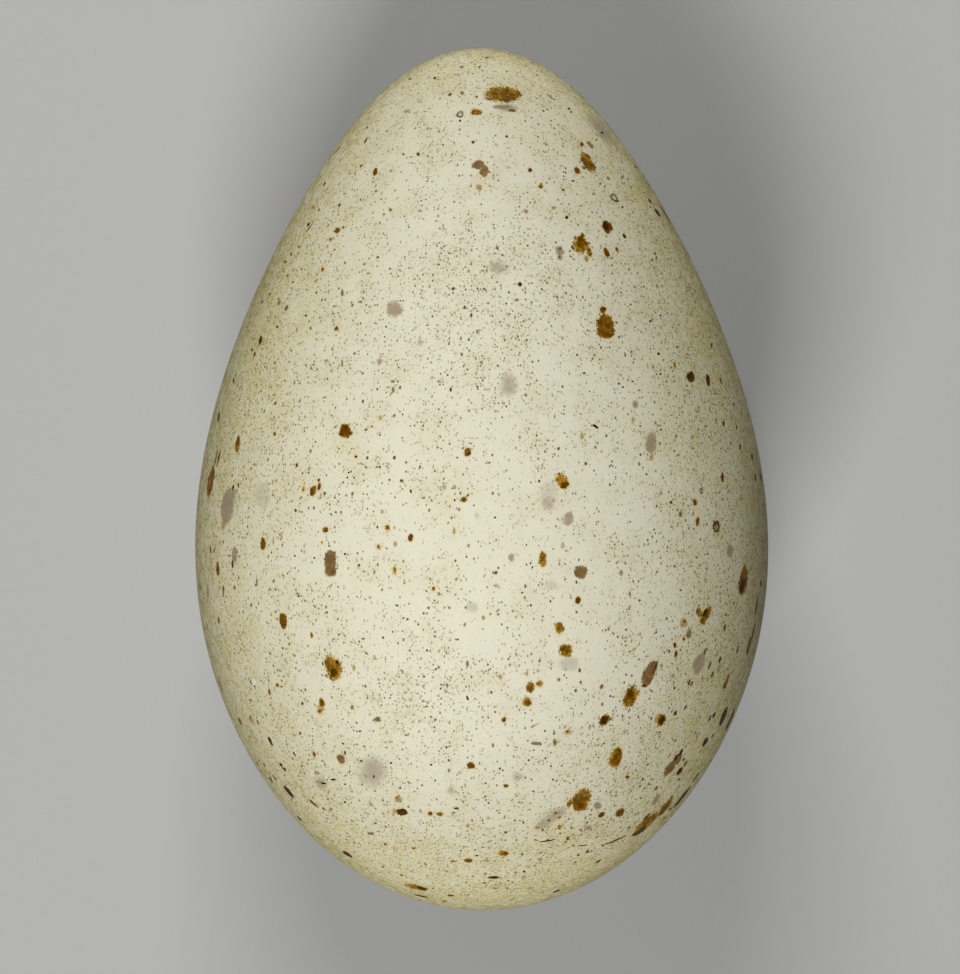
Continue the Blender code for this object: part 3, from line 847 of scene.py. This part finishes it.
def makeShellPaint():
    paint = Paint("eggshell_painted")
    place = paint.node("ShaderNodeTexCoord", output="Object")
    own = paint.node("ShaderNodeMapping", {"vector_type": "TEXTURE"},
                     {"Vector": place, "Location": eggMiddle, "Rotation": (-(math.pi / 2 + eggDip), 0, 0),
                      "Scale": (mm, mm, mm)})
    speckled, stainedAndShaded, rimShadeAndStainShare = paint.parts(paint.attribute("patches", "Color"))
    patchy = paint.noise(own, 3.6, 3, 0.6)
    mottle = paint.noise(own, 0.9, 3, 0.65)
    sand = paint.noise(own, 0.2, 2, 0.6)
    edges = (paint.noise(own, 0.8, 3, 0.6) - 0.5) * 2.6
    crumbs = (paint.noise(own, 0.17, 2, 0.7) - 0.5) * 2.6
    grit = crumbs.rise(0.1, 0.9) * 0.6
    streaks = mottle.rise(0.34, 0.68)
    ground = paint.mix(patchy.rise(0.4, 0.75), finish["cream"], finish["dull"])
    ground = paint.mix(mottle.rise(0.5, 0.75) * 0.4, ground, finish["bright"])
    # From here the shell grows yellower and darker towards its sides and ends, partly real staining and
    # partly painted shade where the shell turns from the lamps; at the rim a darker olive and more dark grain
    # are laid over it, again painted shade mixed with stain.
    ground = paint.mix(stainedAndShaded * (patchy * 0.7 + streaks * 0.5 - 0.1), ground, finish["stainAndShade"])
    ground = paint.mix(rimShadeAndStainShare * (streaks * 0.8 + stainedAndShaded * 0.5 - 0.15), ground, finish["rimStainAndShade"])
    ground = paint.mix(sand.rise(0.4, 0.7) * (stainedAndShaded * 0.4 + 0.12), ground, finish["stainAndShade"])
    crowd = (speckled + (patchy - 0.5) * 1.3).atLeast(0.05)
    ground = paint.mix(sand.rise(0.55, 0.72) * (crowd * 0.3 + rimShadeAndStainShare * 0.3), ground, finish["grain"])
    for spacing, radius, patchShare, share, seed in finish["specks"]:
        ground = withSpecks(paint, ground, own, spacing, radius, crowd * patchShare + share, seed)
    for layer in range(markLayers):
        colour, covered, core, ring = markMask(paint, layer, edges, crumbs)
        ground = paint.mix(ring * 0.55, ground, finish["halo"], "DARKEN")
        darkened = paint.mix(1.0, colour, finish["coreShade"], "MULTIPLY")
        ground = paint.mix(covered, ground, paint.mix(core.atLeast(grit), colour, darkened))
    pores = paint.noise(own, 0.5, 1) * finish["poreHeight"]
    bump = paint.node("ShaderNodeBump", {}, {"Strength": 1.0, "Distance": 1.0, "Height": pores},
                      output="Normal")
    shader = paint.node("ShaderNodeBsdfPrincipled", {},
                        {"Base Color": ground, "Roughness": mottle * 0.12 + finish["roughness"] - 0.06,
                         "Normal": bump, "Specular IOR Level": finish["shine"]})
    paint.node("ShaderNodeOutputMaterial", {}, {"Surface": shader})
    return paint.material


# Studio: a pale floor and two soft boxes

studio = {
    "floorSize": 6.0,
    "floorColour": (0.45, 0.45, 0.44),
    "boxAway": 0.55,                    # from the egg
    "boxSide": 0.2,
    "narrowEndBox": (math.radians(42), math.radians(8), 2.02),     # tilt, turn to the left, watts
    "bluntEndBox": (math.radians(-45), math.radians(13), 2.21),
    "skyColour": (0.9, 0.95, 1.0),
    "skyStrength": 0.045,
}


def makeFloor():
    bpy.ops.mesh.primitive_plane_add(size=studio["floorSize"])
    floor = bpy.context.active_object
    floor.name = "floor"
    paint = Paint("floor_paint")
    shader = paint.node("ShaderNodeBsdfPrincipled", {},
                        {"Base Color": (*studio["floorColour"], 1), "Roughness": 0.9,
                         "Specular IOR Level": 0.1})
    paint.node("ShaderNodeOutputMaterial", {}, {"Surface": shader})
    floor.data.materials.append(paint.material)


def makeSoftBox(name):
    tilt, left, power = studio[name]
    light = bpy.data.lights.new(name, "AREA")
    light.shape = "SQUARE"
    light.size = studio["boxSide"]
    light.energy = power
    box = bpy.data.objects.new(name, light)
    bpy.context.scene.collection.objects.link(box)
    upright = outOfEgg * math.cos(left) - acrossEgg * math.sin(left)
    away = upright * math.cos(tilt) + eggAxis * math.sin(tilt)
    box.location = eggMiddle + away * studio["boxAway"]
    box.rotation_mode = "QUATERNION"
    box.rotation_quaternion = away.to_track_quat("Z", "Y")


def makeStudio():
    makeFloor()
    makeSoftBox("narrowEndBox")
    makeSoftBox("bluntEndBox")
    world = bpy.data.worlds.new("studioSky")
    world.use_nodes = True
    background = world.node_tree.nodes["Background"]
    background.inputs["Color"].default_value = (*studio["skyColour"], 1)
    background.inputs["Strength"].default_value = studio["skyStrength"]
    bpy.context.scene.world = world
    bpy.context.scene.view_settings.view_transform = "Standard"


print("shell")
eggshell = makeShell()
print("camera")
camera = makeCamera()
print("marks")
paintPatches(eggshell)
marker = Marker(eggshell)
laySeenMarks(marker, camera)
layHiddenMarks(marker, camera)
print("marks crowded out of their own layer:", marker.crowded)
print("finish")
eggshell.data.materials.append(makeShellPaint())
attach(eggshell, "root")
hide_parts("egg")
print("studio")
makeStudio()
